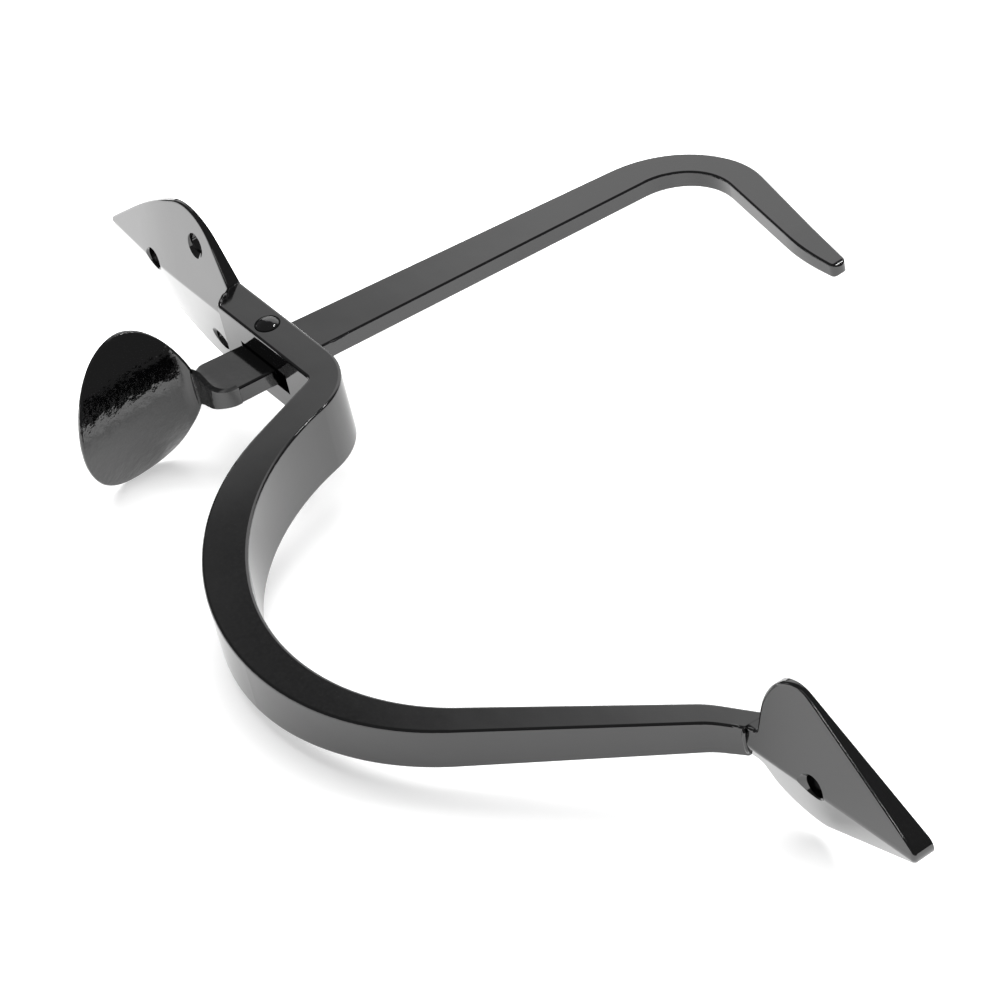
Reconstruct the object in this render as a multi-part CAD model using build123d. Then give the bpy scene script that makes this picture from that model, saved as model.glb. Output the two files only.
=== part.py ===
from build123d import *
import os

# Thumb latch handle of forged iron, in millimetres. +Z is up the door and the door's face is
# the plane Y = 0. The hand's side is -Y, the side inside the door is +Y, and the handle is
# symmetric about X = 0. The origin is on the top screw hole's axis, at the door's face.
# The lever's pivot is 48 below it. Heights above the pivot are given to at(y, z).
PIVOT_Z = -48.0
PIVOT_Y = -3.9

# Strap: flat bar that leaves the door as the grip and tapers down to the bottom leaf
STRAP_W = 16.0
STRAP_T = 7.8
GRIP_OUT = 62.5
NECK_W = 7.2
STRAP_EDGE_R = 0.6
CORNER_FRONT_R = 1.5
CORNER_BACK_R = 15.0
BOW_FRONT_R = 59.0
BOW_BACK_R = 59.0
RETURN_FRONT_R = 53.0
RETURN_BACK_R = 47.0
FOOT_R = 18.0
SPLIT_Z = PIVOT_Z + 16.0

# Slot through the strap for the lever, and the rivet across it
SLOT_W = 5.0
SLOT_TOP_Z = PIVOT_Z + 6.3
SLOT_BOTTOM_Z = PIVOT_Z - 10.5
RIVET_R = 2.0
RIVET_HEAD_R = 2.45
RIVET_HEAD_H = 1.1
LEVER_BORE_R = 2.05

# Top leaf: a plate with a central ridge that drops towards its tip
TOP_RIDGE = 4.5
TOP_SIDE_SLOPE = 0.175
TOP_TIP_T = 2.8
TOP_TIP_Z = PIVOT_Z + 68.4

# Bottom leaf: steeper sides and a ridge that drops all the way to its tip
BOTTOM_RIDGE = 7.4
BOTTOM_SIDE_SLOPE = 0.326
BOTTOM_TIP_DROP = 0.058
BOTTOM_TOP_Z = PIVOT_Z - 158.7
BOTTOM_TIP_Z = PIVOT_Z - 205.0
TOP_TIP_R = 1.5
TOP_EDGE_R = 0.5
BOTTOM_TIP_R = 2.2
BOTTOM_EDGE_R = 0.9
RIDGE_R = 2.0

# Screw holes: straight at the door, then a countersink that opens at 45 degrees
SCREW_R = 2.4
SIDE_HOLE_SPACING = 25.8
SIDE_HOLE_Z = PIVOT_Z + 28.6
BOTTOM_HOLE_Z = PIVOT_Z - 176.3
TOP_WALL = 3.5
SIDE_WALL = 1.9
BOTTOM_WALL = 5.0

# Lever: a bar on edge that tapers to its tip past a downward hook
LEVER_T = 4.0
LEVER_EDGE_R = 0.5
TIP_R = 1.6
LEVER_SPLIT_Y = -7.0

# Thumb pad: a thin plate, dished from side to side, that bends out of the lever's lower edge
PAD_T = 1.2
PAD_RIM_R = 0.4
PAD_HALF_W = 17.2
PAD_FRONT_L = 16.9
PAD_BACK_L = 12.2
PAD_MID_Y = -32.9
PAD_Z = 4.5
PAD_DISH_R = 30.0
PAD_ARCH_R = 95.0
NECK_Y = -21.3
NECK_END_Y = -16.3
NECK_Z = -5.8
NECK_R = 4.8
THROAT_R = 3.0


def at(y, z):
    """A point in the plane X = 0, with its height measured from the pivot."""
    return Vector(0, y, PIVOT_Z + z)


def across(outline, width):
    """Solid of the given width, centred on X = 0, from a closed side view."""
    return extrude(make_face(outline), amount=width / 2, dir=(1, 0, 0), both=True)


def through(outline, depth):
    """Solid from a closed front view, from the door's face to depth in front of it."""
    return extrude(make_face(outline), amount=depth, dir=(0, -1, 0))


def mirrored(half):
    """Closed front view from its +X half."""
    other = half.mirror(Plane.YZ)
    ends = [(half @ 0, other @ 0), (half @ 1, other @ 1)]
    return [half, other] + [Line(a, b) for a, b in ends]


def leaf_outline(points, radii, tip_z, tip_r):
    """Closed front view of a leaf from the +X half's corners, with a round tip."""
    right = [(x, 0, PIVOT_Z + z) for x, z in points]
    left = [(-x, 0, PIVOT_Z + z) for x, z in reversed(points)]
    corners = right + [(0, 0, tip_z)] + left
    radius = radii + [tip_r] + radii[::-1]
    return [FilletPolyline(*corners, radius=radius), Line(left[-1], right[0])]


def block(low, high):
    low, high = Vector(*low), Vector(*high)
    size = high - low
    return Pos(*((low + high) / 2)) * Box(size.X, size.Y, size.Z)


def across_cylinder(radius, width):
    return Pos(0, PIVOT_Y, PIVOT_Z) * Rot(0, 90, 0) * Cylinder(radius, width)


def roof(ridge, slope):
    """Solid under two planes or curved faces that fall away from a ridge line at each side."""
    top = ridge @ 0
    end = ridge @ 1
    rest = Polyline(end, (0, 5, end.Z), (0, 5, top.Z), top)
    side = make_face([ridge, rest])
    half = extrude(side, amount=30, dir=(1, slope, 0))
    whole = half + half.mirror(Plane.YZ)
    crest = [e for e in whole.edges() if abs(e.center().X) < 0.01 and e.center().Y < 0]
    return fillet([e for e in crest if abs(e.tangent_at(0.5).Z) > 0.5], RIDGE_R)


def screw_cutter(x, z, wall):
    """Screw hole with its countersink, wall being the length of the straight part."""
    depth = 8.0
    cone = Cone(SCREW_R, SCREW_R + depth, depth)
    hole = Cylinder(SCREW_R, 2 * wall)
    cutter = hole + Pos(0, 0, wall + depth / 2) * cone
    return Pos(x, 0, z) * Rot(90, 0, 0) * cutter


def strap_blank():
    front = FilletPolyline(
        at(-STRAP_T, 13.2),
        at(-STRAP_T, -21.3),
        at(2.2 - GRIP_OUT, -41.6),
        at(-1.0 - GRIP_OUT, -104.8),
        at(-10.4, -153.6),
        at(-6.9, -158.7),
        radius=[CORNER_FRONT_R, BOW_FRONT_R, RETURN_FRONT_R, FOOT_R],
    )
    back = FilletPolyline(
        at(0, 17),
        at(0, -28.2),
        at(23.1 - GRIP_OUT, -39.5),
        at(-0.6 - GRIP_OUT, -95.2),
        at(-7.3, -149.3),
        at(-0.9, -159.2),
        radius=[CORNER_BACK_R, BOW_BACK_R, RETURN_BACK_R, FOOT_R],
    )
    shoulder = Polyline(back @ 0, at(-2.5, 17), front @ 0)
    foot = Line(front @ 1, back @ 1)
    profile = across([front, back, shoulder, foot], STRAP_W)
    half_width = FilletPolyline(
        (STRAP_W / 2, 0, PIVOT_Z + 20),
        (STRAP_W / 2, 0, PIVOT_Z - 39),
        (5.15, 0, PIVOT_Z - 101),
        (NECK_W / 2, 0, PIVOT_Z - 160),
        radius=[300.0, 600.0],
    )
    blank = profile & through(mirrored(half_width), GRIP_OUT + 5)
    sides = [f for f in blank.faces() if abs(f.normal_at().X) > 0.9]
    rim = {e for f in sides for e in f.edges()}
    long = [e for e in rim if SPLIT_Z - 2 > e.center().Z > PIVOT_Z - 157]
    return fillet(long, STRAP_EDGE_R)


def top_leaf_blank():
    corners = [(7, 16), (23.0, 28), (15.4, 46.3)]
    outline = leaf_outline(corners, [12.0, 80.0], TOP_TIP_Z, TOP_TIP_R)
    ridge = FilletPolyline(
        (0, -TOP_RIDGE, PIVOT_Z),
        (0, -TOP_RIDGE, PIVOT_Z + 45),
        (0, -TOP_TIP_T + 0.3, TOP_TIP_Z + 4),
        radius=200.0,
    )
    return through(outline, 12) & roof(ridge, TOP_SIDE_SLOPE)


def bottom_leaf_blank():
    neck = NECK_W / 2
    corners = [(neck, -158.7), (neck, -161.2), (14.8, -161.2), (17.4, -170.5)]
    outline = leaf_outline(corners, [0.5, 9.0, 6.0], BOTTOM_TIP_Z, BOTTOM_TIP_R)
    ridge = Line(
        (0, -BOTTOM_RIDGE, BOTTOM_TOP_Z + 4),
        (0, -BOTTOM_RIDGE + 54 * BOTTOM_TIP_DROP, BOTTOM_TOP_Z - 50),
    )
    return through(outline, 12) & roof(ridge, BOTTOM_SIDE_SLOPE)


def soften(leaf, radius):
    """Round the leaf's front rim, but not where it meets the strap."""
    front = [f for f in leaf.faces() if f.normal_at().Y < -0.5]
    edges = [e for f in front for e in f.edges()]
    rim = [e for e in edges if edges.count(e) == 1]
    ends = (SPLIT_Z, BOTTOM_TOP_Z)
    rim = [e for e in rim if all(abs(e.center().Z - z) > 0.2 for z in ends)]
    return fillet(rim, radius)


def pad_curve(inset):
    """Side view of the neck and pad: their lower curve, or the one above it by inset."""
    slope = 0.275
    rise = inset * (1 + slope**2) ** 0.5
    mid_y = -37.2 - inset * slope / 2
    return FilletPolyline(
        at(NECK_END_Y, NECK_Z + inset),
        at(NECK_Y + inset, NECK_Z + inset),
        at(NECK_Y + inset, PAD_Z + inset),
        at(mid_y, PAD_Z + inset),
        at(-50.5, PAD_Z + rise + slope * (37.2 - 50.5)),
        radius=[NECK_R - inset, THROAT_R + inset, PAD_ARCH_R + inset],
    )


def make_bar():
    outline = FilletPolyline(
        at(NECK_Y, 0),
        at(NECK_Y, -5.4),
        at(94.2, -15.8),
        at(92.8, -29.3),
        at(88.9, -57.0),
        at(89.7, -66.7),
        at(93.0, -67.1),
        at(95.2, -53.0),
        at(100.3, -26.3),
        at(92.6, -7.6),
        at(-18.0, 7.1),
        at(NECK_Y, 5.2),
        radius=[1.0, 13.0, 20.0, 50.0, TIP_R, TIP_R, 80.0, 19.3, 24.0, 2.0],
    )
    bar = across([outline, Line(outline @ 1, outline @ 0)], LEVER_T)
    half_t = LEVER_T / 2
    thin = FilletPolyline(
        (half_t, 0, PIVOT_Z + 12),
        (half_t, 0, PIVOT_Z - 52),
        (1.6, 0, PIVOT_Z - 67.0),
        (0, 0, PIVOT_Z - 67.0),
        radius=[60.0, 1.3],
    )
    front = make_face([thin, thin.mirror(Plane.YZ), Line(thin @ 0, (-half_t, 0, PIVOT_Z + 12))])
    bar = bar & extrude(front, amount=150, dir=(0, 1, 0), both=True)
    sides = [f for f in bar.faces() if abs(f.normal_at().X) > 0.9]
    rim = [e for f in sides for e in f.edges() if e.center().Y > NECK_END_Y - 3]
    bar = fillet([e for e in rim if e.center().Z > PIVOT_Z - 66], LEVER_EDGE_R)
    upper = pad_curve(PAD_T)
    below = Polyline(upper @ 1, at(-52, -9), at(NECK_END_Y, -9), upper @ 0)
    return bar - across([upper, below], LEVER_T + 2)


def make_pad():
    """One dished shell: an oval pad, and the neck that carries it on the lever's end."""
    lower, upper = pad_curve(0), pad_curve(PAD_T)
    section = make_face([lower, upper, Line(lower @ 0, upper @ 0), Line(lower @ 1, upper @ 1)])
    spin = Axis((0, 0, PIVOT_Z + PAD_Z + PAD_DISH_R), (0, 1, 0))
    shell = revolve(section.rotate(spin, -37), axis=spin, revolution_arc=74)
    middle = (0, PAD_MID_Y)
    back = EllipticalCenterArc(middle, PAD_HALF_W, PAD_BACK_L, start_angle=0, arc_size=180)
    front = EllipticalCenterArc(middle, PAD_HALF_W, PAD_FRONT_L, start_angle=180, arc_size=180)
    oval = extrude(Pos(0, 0, PIVOT_Z - 20) * make_face([back, front]), amount=60)
    oval = oval - block((-30, -23, PIVOT_Z - 20), (30, 0, PIVOT_Z + 3.5))
    flare = FilletPolyline(
        (LEVER_T / 2, 0, PIVOT_Z - 7),
        (LEVER_T / 2, 0, PIVOT_Z - 4.5),
        (5.2, 0, PIVOT_Z + 7.7),
        radius=8.0,
    )
    neck = through(mirrored(flare), 21.8)
    pad = shell & (oval + neck)
    sides = [f for f in pad.faces() if abs(f.normal_at().Z) < 0.05 and f.center().Y < -22]
    return fillet([e for f in sides for e in f.edges() if e.length > 3], PAD_RIM_R)


def make_lever():
    """Bar and pad are one forging, cut where the strap hides the joint."""
    whole = make_bar() + make_pad() - across_cylinder(LEVER_BORE_R, LEVER_T + 2)
    front = block((-25, -60, PIVOT_Z - 20), (25, LEVER_SPLIT_Y, PIVOT_Z + 20))
    return whole - front, whole & front


def make_rivet():
    """Shank across the strap with a low domed head at each side."""
    reach = STRAP_W / 2 + RIVET_HEAD_H
    half = [
        Line((0, 0, 0), (0, RIVET_R, 0)),
        Line((0, RIVET_R, 0), (STRAP_W / 2, RIVET_R, 0)),
        Line((STRAP_W / 2, RIVET_R, 0), (STRAP_W / 2, RIVET_HEAD_R, 0)),
    ]
    ball_r = (RIVET_HEAD_R**2 + RIVET_HEAD_H**2) / (2 * RIVET_HEAD_H)
    dome = RadiusArc((STRAP_W / 2, RIVET_HEAD_R, 0), (reach, 0, 0), ball_r)
    section = make_face(half + [dome, Line((reach, 0, 0), (0, 0, 0))])
    half_rivet = revolve(section, axis=Axis.X)
    return Pos(0, PIVOT_Y, PIVOT_Z) * (half_rivet + half_rivet.mirror(Plane.YZ))


def make_handle():
    """Strap and top leaf are one forging, cut level across where the leaf begins."""
    top = top_leaf_blank()
    bottom = soften(bottom_leaf_blank(), BOTTOM_EDGE_R)
    blank = strap_blank()
    above = block((-30, -20, SPLIT_Z), (30, 5, TOP_TIP_Z + 5))
    top_leaf = soften(top, TOP_EDGE_R) + (blank & above)
    strap = blank - above - bottom
    strap = strap - block((-SLOT_W / 2, -9, SLOT_BOTTOM_Z), (SLOT_W / 2, 1, SLOT_TOP_Z))
    strap = strap - across_cylinder(RIVET_R, STRAP_W + 2)
    top_leaf = top_leaf - screw_cutter(0, 0, TOP_WALL)
    for x in (-SIDE_HOLE_SPACING / 2, SIDE_HOLE_SPACING / 2):
        top_leaf = top_leaf - screw_cutter(x, SIDE_HOLE_Z, SIDE_WALL)
    bottom_leaf = bottom - screw_cutter(0, BOTTOM_HOLE_Z, BOTTOM_WALL)
    return strap, top_leaf, bottom_leaf


if __name__ == "__main__":
    os.makedirs("parts", exist_ok=True)
    strap, top_leaf, bottom_leaf = make_handle()
    lever, pad = make_lever()
    nodes = {
        "grip_strap": strap,
        "top_leaf_plate": top_leaf,
        "bottom_leaf_plate": bottom_leaf,
        "pivot_rivet": make_rivet(),
        "thumb_lever": lever,
        "thumb_pad": pad,
    }
    for name, solid in nodes.items():
        export_step(solid, f"parts/{name}.step")
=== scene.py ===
import math

import bmesh
import bpy
from mathutils import Matrix, Vector


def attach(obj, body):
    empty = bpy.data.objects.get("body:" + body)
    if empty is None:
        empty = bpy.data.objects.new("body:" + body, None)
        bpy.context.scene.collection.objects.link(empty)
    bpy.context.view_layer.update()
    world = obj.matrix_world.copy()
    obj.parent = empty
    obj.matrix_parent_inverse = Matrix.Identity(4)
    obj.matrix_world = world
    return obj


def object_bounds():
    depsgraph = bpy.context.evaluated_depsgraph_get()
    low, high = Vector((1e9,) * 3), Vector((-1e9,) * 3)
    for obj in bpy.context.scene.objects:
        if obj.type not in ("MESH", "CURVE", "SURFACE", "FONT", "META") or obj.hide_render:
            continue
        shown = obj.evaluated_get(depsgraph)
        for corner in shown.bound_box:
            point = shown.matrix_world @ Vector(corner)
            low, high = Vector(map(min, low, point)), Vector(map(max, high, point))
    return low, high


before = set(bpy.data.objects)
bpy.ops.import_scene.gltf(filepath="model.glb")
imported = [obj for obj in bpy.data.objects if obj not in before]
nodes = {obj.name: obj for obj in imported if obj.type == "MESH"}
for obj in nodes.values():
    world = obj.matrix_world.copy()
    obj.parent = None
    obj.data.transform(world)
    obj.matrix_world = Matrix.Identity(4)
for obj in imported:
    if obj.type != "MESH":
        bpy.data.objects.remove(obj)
cad_low, cad_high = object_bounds()

MM = 0.001
scene = bpy.context.scene
scene.view_settings.view_transform = "Standard"


# ------------------------------------------------------------------ camera

CAMERA_AT = Vector((0.4945, -0.2701, -0.6460))
CAMERA_RIGHT = Vector((-0.1758, 0.7975, -0.5771))
CAMERA_UP = Vector((0.7470, 0.4899, 0.4495))
LENS_MM = 144.1
SENSOR_MM = 36
NEAREST, FARTHEST = 0.01, 20

camera_data = bpy.data.cameras.new("camera")
camera_data.lens = LENS_MM
camera_data.sensor_width = SENSOR_MM
camera_data.clip_start = NEAREST
camera_data.clip_end = FARTHEST
camera = bpy.data.objects.new("camera", camera_data)
scene.collection.objects.link(camera)
right = CAMERA_RIGHT.normalized()
back = right.cross(CAMERA_UP).normalized()
up = back.cross(right)
camera.matrix_world = Matrix(
    (
        (right.x, up.x, back.x, CAMERA_AT.x),
        (right.y, up.y, back.y, CAMERA_AT.y),
        (right.z, up.z, back.z, CAMERA_AT.z),
        (0, 0, 0, 1),
    )
)
scene.camera = camera

# The handle lies on its side, so the floor is the plane that it rests on.
FLOOR_NORMAL = Vector((0.98, 0.19, 0.02)).normalized()
centre = (cad_low + cad_high) / 2
ahead = centre - CAMERA_AT
ahead = (ahead - ahead.dot(FLOOR_NORMAL) * FLOOR_NORMAL).normalized()
rightward = ahead.cross(FLOOR_NORMAL)


def toward(azimuth, elevation):
    """Unit vector over the floor: azimuth 0 is away from the camera, 90 is to the right."""
    a, e = math.radians(azimuth), math.radians(elevation)
    level = math.cos(a) * ahead + math.sin(a) * rightward
    return math.cos(e) * level + math.sin(e) * FLOOR_NORMAL


# --------------------------------------------------------------- materials


class Tree:
    """Short calls for building a node tree."""

    def __init__(self, owner):
        owner.use_nodes = True
        self.tree = owner.node_tree
        self.tree.nodes.clear()

    def add(self, kind, settings=None, **inputs):
        node = self.tree.nodes.new("ShaderNode" + kind)
        for name, value in (settings or {}).items():
            setattr(node, name, value)
        for name, value in inputs.items():
            self.put(node, name.replace("_", " "), value)
        return node

    def put(self, node, socket, value):
        """Sets an input, or links it when the value is another node's output."""
        target = node.inputs[socket]
        if isinstance(value, bpy.types.NodeSocket):
            self.tree.links.new(value, target)
        else:
            target.default_value = value

    def math(self, operation, a, b=0.0):
        node = self.add("Math", {"operation": operation})
        self.put(node, 0, a)
        self.put(node, 1, b)
        return node.outputs[0]

    def ramp(self, value, low, high, start=0.0, end=1.0, smooth=True):
        """Start below low, end above high, and in between a smooth or straight rise."""
        kind = "SMOOTHSTEP" if smooth else "LINEAR"
        node = self.add("MapRange", {"interpolation_type": kind})
        for index, item in enumerate((value, low, high, start, end)):
            self.put(node, index, item)
        return node.outputs[0]


BLACK = (0.0016, 0.0016, 0.0018, 1)
SPECK_COLOUR = (0.05, 0.048, 0.045, 1)
SPECK_HEIGHT = 0.06 * MM
GLOSS_IOR = 1.8
WAVE_SCALE, GRAIN_SCALE, SPECK_SCALE = 55.0, 1500.0, 230.0
# On a calm paint the orange peel fades from full on the pad to this share on the bar.
FULL_PEEL_Y, CALM_PEEL_Y, CALM_SHARE = -23 * MM, -18 * MM, 0.06


def paint(name, wave, peel, peel_scale, roughness, specks=0.0, calm=False, ior=GLOSS_IOR):
    """Black paint. Wave and peel are the heights, in metres, of the slow unevenness of
    forged iron and of the paint's orange peel. Specks is the share of cells with a speck."""
    material = bpy.data.materials.new(name)
    t = Tree(material)
    place = t.add("TexCoord").outputs["Object"]
    if calm:
        depth = t.add("SeparateXYZ", Vector=place).outputs["Y"]
        share = t.ramp(depth, FULL_PEEL_Y, CALM_PEEL_Y, 1.0, CALM_SHARE)
        peel = t.math("MULTIPLY", share, peel)
    slow = t.add("TexNoise", Vector=place, Scale=WAVE_SCALE, Detail=2.0, Roughness=0.45)
    mottle = t.add("TexNoise", Vector=place, Scale=peel_scale, Detail=3.0, Roughness=0.55)
    grain = t.add("TexNoise", Vector=place, Scale=GRAIN_SCALE, Detail=2.0, Roughness=0.5)
    height = t.math(
        "ADD",
        t.math("MULTIPLY", slow.outputs["Fac"], wave),
        t.math("MULTIPLY", mottle.outputs["Fac"], peel),
    )
    colour = BLACK
    if specks:
        cells = t.add("TexVoronoi", Vector=place, Scale=SPECK_SCALE, Randomness=1.0)
        pick = t.add("TexWhiteNoise", Vector=cells.outputs["Position"])
        rare = t.math("GREATER_THAN", pick.outputs["Value"], 1.0 - specks)
        dot = t.math("MULTIPLY", t.ramp(cells.outputs["Distance"], 0.05, 0.02), rare)
        mix = t.add("Mix", {"data_type": "RGBA"})
        t.put(mix, 0, dot)
        t.put(mix, 6, BLACK)
        t.put(mix, 7, SPECK_COLOUR)
        colour = mix.outputs[2]
        height = t.math("ADD", height, t.math("MULTIPLY", dot, SPECK_HEIGHT))
    bump = t.add("Bump", Height=height, Strength=1.0, Distance=1.0)
    rough = t.ramp(grain.outputs["Fac"], 0.3, 0.7, roughness * 0.8, roughness * 1.25)
    shader = t.add("BsdfPrincipled", Roughness=rough, Normal=bump.outputs["Normal"])
    t.put(shader, "Base Color", colour)
    t.put(shader, "IOR", ior)
    t.add("OutputMaterial", Surface=shader.outputs["BSDF"])
    return material


iron = paint("black_iron_paint", 0.06 * MM, 0.003 * MM, 420.0, 0.07, specks=0.05)
pad_paint = paint("black_pad_paint", 0.12 * MM, 0.16 * MM, 430.0, 0.09, specks=0.02, calm=True)
dull = paint("dull_settled_paint", 0.0, 0.02 * MM, 900.0, 0.55, ior=1.15)
for name, node in nodes.items():
    node.data.materials.clear()
    node.data.materials.append(pad_paint if name == "thumb_pad" else iron)


# ------------------------------------------------------------ small pieces


ROUND_STEPS = 32
RUN_STEPS = 10


def circle(steps):
    """Unit vectors around a circle in the XY plane."""
    for i in range(steps):
        angle = 2 * math.pi * i / steps
        yield Vector((math.cos(angle), math.sin(angle), 0))


def join(shape, near, far):
    """A band of faces between two loops of points."""
    steps = len(near)
    for i in range(steps):
        j = (i + 1) % steps
        shape.faces.new((near[i], near[j], far[j], far[i]))


def settle(name, shape, material, body):
    """Makes the piece, smooth and painted, and puts it on its body."""
    bmesh.ops.recalc_face_normals(shape, faces=shape.faces)
    mesh = bpy.data.meshes.new(name)
    shape.to_mesh(mesh)
    shape.free()
    for face in mesh.polygons:
        face.use_smooth = True
    mesh.materials.append(material)
    piece = bpy.data.objects.new(name, mesh)
    scene.collection.objects.link(piece)
    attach(piece, body)
    return piece


def round_mark(name, rings, centre, axis, material, body):
    """Closed surface of revolution: rings are (radius, distance along the axis)."""
    shape = bmesh.new()
    turn = axis.to_track_quat("Z", "Y")
    loops = []
    for radius, distance in rings:
        rise = Vector((0, 0, distance))
        ring = [centre + turn @ (flat * radius + rise) for flat in circle(ROUND_STEPS)]
        loops.append([shape.verts.new(spot) for spot in ring])
    for near, far in zip(loops, loops[1:] + loops[:1]):
        join(shape, near, far)
    settle(name, shape, material, body)


def run_of_paint(name, points, material, body):
    """Smooth bead along points given as (x, y, z, radius) in millimetres, closed at both ends."""
    shape = bmesh.new()
    spine = [Vector(point[:3]) * MM for point in points]
    loops = []
    for k, point in enumerate(spine):
        before = spine[max(k - 1, 0)]
        after = spine[min(k + 1, len(spine) - 1)]
        turn = (after - before).to_track_quat("Z", "Y")
        radius = points[k][3] * MM
        loop = [shape.verts.new(point + turn @ (flat * radius)) for flat in circle(RUN_STEPS)]
        loops.append(loop)
    for near, far in zip(loops, loops[1:]):
        join(shape, near, far)
    shape.faces.new(loops[0])
    shape.faces.new(loops[-1])
    piece = settle(name, shape, material, body)
    rounding = piece.modifiers.new("rounding", "SUBSURF")
    rounding.levels = 2
    rounding.render_levels = 2


# A thin line of dull paint has settled around each rivet head.
PIVOT = Vector((0, -3.9, -48)) * MM
HEAD_R = 2.45 * MM
STRAP_HALF = 8.0 * MM
# Each point of its section: distance out from the head's rim, and height over the bar.
LINE_SECTION = ((-0.05, -0.1), (0.34, -0.1), (0.28, 0.05), (0.12, 0.1), (-0.05, 0.08))
line = [(HEAD_R + out * MM, height * MM) for out, height in LINE_SECTION]
for side, word in ((1, "near"), (-1, "far")):
    axis = Vector((side, 0, 0))
    at_head = PIVOT + axis * STRAP_HALF
    round_mark("rivet_line_" + word, line, at_head, axis, dull, "handle")

# Paint has run into the crease between the bar's lower end and the bottom leaf, with one
# drop above it and one below on the near side.
crease = [
    (3.2, -6.4, -206.6, 0.35),
    (2.4, -6.8, -206.9, 0.5),
    (1.0, -7.0, -207.1, 0.45),
    (-1.0, -7.0, -207.1, 0.45),
    (-2.2, -6.8, -206.9, 0.4),
    (-2.9, -6.5, -206.7, 0.2),
]
run_of_paint("crease_run", crease, iron, "handle")
upper_drop = [
    (3.45, -8.0, -203.9, 0.1),
    (3.4, -7.5, -204.9, 0.4),
    (3.35, -7.1, -205.7, 0.5),
    (3.3, -6.8, -206.2, 0.15),
]
run_of_paint("upper_drop", upper_drop, iron, "handle")
lower_drop = [
    (3.25, -6.0, -207.0, 0.15),
    (3.2, -5.9, -207.6, 0.5),
    (3.25, -5.7, -208.3, 0.45),
    (3.3, -5.4, -208.9, 0.1),
]
run_of_paint("lower_drop", lower_drop, iron, "handle")

# Paint has gathered in a thin line along the near front edges of both leaves.
bottom_rim = [
    (8.6, -4.0, -209.7, 0.1),
    (11.0, -3.2, -210.3, 0.22),
    (13.5, -2.2, -211.6, 0.26),
    (15.3, -1.5, -213.5, 0.28),
    (16.4, -1.05, -216.0, 0.28),
    (16.7, -0.9, -218.3, 0.28),
    (16.2, -0.95, -220.4, 0.3),
    (12.6, -1.7, -227.5, 0.3),
    (9.0, -2.45, -234.7, 0.3),
    (5.4, -3.2, -241.8, 0.3),
    (1.85, -3.95, -248.8, 0.32),
    (0.9, -4.1, -249.6, 0.2),
]
top_rim = [
    (8.3, -2.75, -31.3, 0.08),
    (11.9, -2.05, -28.5, 0.16),
    (15.4, -1.45, -25.5, 0.2),
    (18.5, -0.85, -21.9, 0.22),
    (19.9, -0.6, -18.2, 0.22),
    (19.9, -0.65, -14.5, 0.22),
    (19.1, -0.85, -10.7, 0.2),
    (15.2, -1.45, -2.5, 0.18),
    (10.8, -1.9, 4.8, 0.16),
    (6.0, -2.15, 11.6, 0.12),
    (1.4, -2.5, 18.2, 0.06),
]
run_of_paint("bottom_rim", bottom_rim, iron, "handle")
run_of_paint("top_rim", top_rim, iron, "handle")

# Marks of the forging where the bar runs into the top leaf, on the near side only.
weld = [
    (8.0, -0.3, -31.7, 0.1),
    (8.0, -1.2, -31.9, 0.24),
    (8.0, -2.6, -32.0, 0.2),
    (8.0, -3.9, -32.4, 0.1),
]
run_of_paint("weld_line", weld, iron, "handle")
fold = [
    (8.0, -3.9, -32.5, 0.1),
    (8.0, -4.6, -32.9, 0.5),
    (8.05, -5.3, -33.4, 0.65),
    (7.95, -6.1, -33.6, 0.3),
    (7.9, -6.7, -34.3, 0.6),
    (7.7, -7.4, -35.0, 0.45),
    (7.6, -7.7, -35.8, 0.1),
]
run_of_paint("forging_fold", fold, iron, "handle")

# A run of paint along the lever's lower edge behind the bar.
lever_run = [
    (1.75, 4.3, -55.4, 0.08),
    (1.7, 5.2, -55.7, 0.26),
    (1.5, 6.0, -55.8, 0.34),
    (1.6, 7.0, -55.9, 0.18),
    (1.6, 8.3, -56.0, 0.24),
    (1.7, 9.6, -56.1, 0.06),
]
run_of_paint("lever_run", lever_run, iron, "lever")


# ------------------------------------------------------------------- stage


# The two stretches of height over which the floor's painted glow grows towards each leaf.
TOP_GLOW_Z = (-25 * MM, 10 * MM)
BOTTOM_GLOW_Z = (-200 * MM, -250 * MM)


def one_sided_glowing_white(name, albedo, glow, top_glow, bottom_glow):
    """White seen from the front, clear from behind. It glows evenly, and glows more beside the
    two leaves as a painted pool of light.
    """
    material = bpy.data.materials.new(name)
    t = Tree(material)
    face = t.add("NewGeometry")
    level = t.add("SeparateXYZ", Vector=face.outputs["Position"]).outputs["Z"]
    by_top = t.ramp(level, *TOP_GLOW_Z, glow, top_glow)
    by_bottom = t.ramp(level, *BOTTOM_GLOW_Z, 0.0, bottom_glow - glow)
    strength = t.math("ADD", by_top, by_bottom)
    diffuse = t.add("BsdfDiffuse", Color=(albedo, albedo, albedo, 1))
    emission = t.add("Emission", Color=(1, 1, 1, 1), Strength=strength)
    front = t.add("AddShader")
    t.put(front, 0, diffuse.outputs[0])
    t.put(front, 1, emission.outputs[0])
    clear = t.add("BsdfTransparent")
    mix = t.add("MixShader", Fac=face.outputs["Backfacing"])
    t.put(mix, 1, front.outputs[0])
    t.put(mix, 2, clear.outputs[0])
    t.add("OutputMaterial", Surface=mix.outputs[0])
    return material


def lowest_along(direction):
    """The least distance along a direction that any CAD node reaches."""
    corners = (vertex.co for node in nodes.values() for vertex in node.data.vertices)
    return min(corner.dot(direction) for corner in corners)


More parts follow.
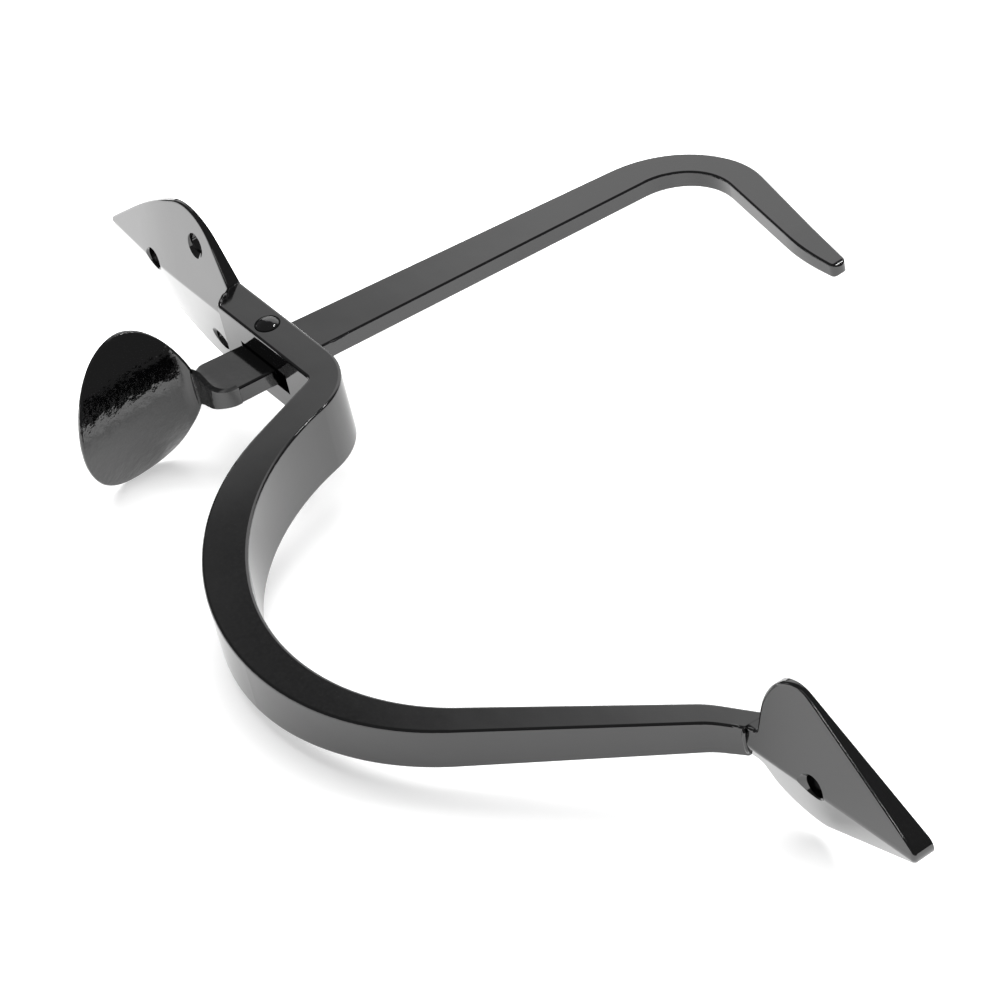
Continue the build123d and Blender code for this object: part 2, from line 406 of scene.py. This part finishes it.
FLOOR_HALF = 3.0
floor_mesh = bpy.data.meshes.new("floor")
floor_mesh.from_pydata(
    [(x * FLOOR_HALF, y * FLOOR_HALF, 0) for x, y in ((-1, -1), (1, -1), (1, 1), (-1, 1))],
    [],
    [(0, 1, 2, 3)],
)
floor = bpy.data.objects.new("floor", floor_mesh)
scene.collection.objects.link(floor)
drop = lowest_along(FLOOR_NORMAL) - centre.dot(FLOOR_NORMAL)
floor.rotation_mode = "QUATERNION"
floor.rotation_quaternion = FLOOR_NORMAL.to_track_quat("Z", "Y")
floor.location = centre + FLOOR_NORMAL * drop
# The floor's emission is painted light: an even glow, stronger beside both leaves.
white = one_sided_glowing_white("floor_white_painted_glow", albedo=0.6, glow=0.5, top_glow=1.4, bottom_glow=0.9)
floor_mesh.materials.append(white)


LIGHT_DISTANCE = 1.3


def soft_light(name, azimuth, elevation, width, watts, mirrored):
    """Square light aimed at the handle. The paint shows it only if it is mirrored."""
    data = bpy.data.lights.new(name, "AREA")
    data.shape = "SQUARE"
    data.size = width
    data.energy = watts
    light = bpy.data.objects.new(name, data)
    light.visible_glossy = mirrored
    direction = toward(azimuth, elevation)
    light.location = centre + direction * LIGHT_DISTANCE
    light.rotation_mode = "QUATERNION"
    light.rotation_quaternion = direction.to_track_quat("Z", "Y")
    scene.collection.objects.link(light)


soft_light("key_light", -20, 76, width=1.5, watts=33.0, mirrored=False)
soft_light("small_light_a", 78, 58, width=0.12, watts=1.2, mirrored=True)
soft_light("small_light_b", 100, 60, width=0.12, watts=1.2, mirrored=True)


# Dim surroundings with one large soft window behind the handle, and a dark patch near the
# window's left edge. All of it depends only on direction. Angles are in degrees.
DIM, DARKEST = 0.13, 0.03
BRIGHT, BRIGHT_IN_PATCH = 1.2, 0.12
WINDOW_FOOT = (2, 14)
WINDOW_HEAD = (57, 68)
WINDOW_LEFT, WINDOW_RIGHT = -28, 60
PATCH_AZIMUTH, PATCH_ELEVATION = -21.5, 51
PATCH_HALF_WIDTH, PATCH_HALF_HEIGHT = 2.8, 9
PATCH_FADE = 2.3

world = bpy.data.worlds.new("world")
scene.world = world
t = Tree(world)
direction = t.add("TexCoord").outputs["Generated"]


def along(axis):
    """How far the direction looked in points along an axis, from -1 to 1."""
    node = t.add("VectorMath", {"operation": "DOT_PRODUCT"})
    t.put(node, 0, direction)
    t.put(node, 1, axis)
    return node.outputs["Value"]


def sine(degrees):
    return math.sin(math.radians(degrees))


def product(*factors):
    result = factors[0]
    for factor in factors[1:]:
        result = t.math("MULTIPLY", result, factor)
    return result


height = along(FLOOR_NORMAL)
window = product(
    t.ramp(height, *map(sine, WINDOW_FOOT)),
    t.ramp(height, *map(sine, WINDOW_HEAD), 1.0, 0.0),
    t.ramp(along(toward(WINDOW_LEFT + 90, 0)), -0.06, 0.04),
    t.ramp(along(toward(WINDOW_RIGHT - 90, 0)), -0.1, 0.2),
)
patch = toward(PATCH_AZIMUTH, PATCH_ELEVATION)
across_patch = patch.cross(FLOOR_NORMAL).normalized()
up_patch = across_patch.cross(patch)
u = t.math("DIVIDE", along(across_patch), sine(PATCH_HALF_WIDTH))
w = t.math("DIVIDE", along(up_patch), sine(PATCH_HALF_HEIGHT))
spread = t.math("SQRT", t.math("ADD", product(u, u), product(w, w)))
shine = t.ramp(spread, 0.1, PATCH_FADE, BRIGHT_IN_PATCH, BRIGHT - DIM, smooth=False)
lit = product(window, shine)
dim = t.ramp(spread, 0.3, PATCH_FADE, DARKEST, DIM)
strength = t.math("ADD", lit, dim)
background = t.add("Background", Color=(1, 1, 1, 1), Strength=strength)
t.add("OutputWorld", Surface=background.outputs[0])
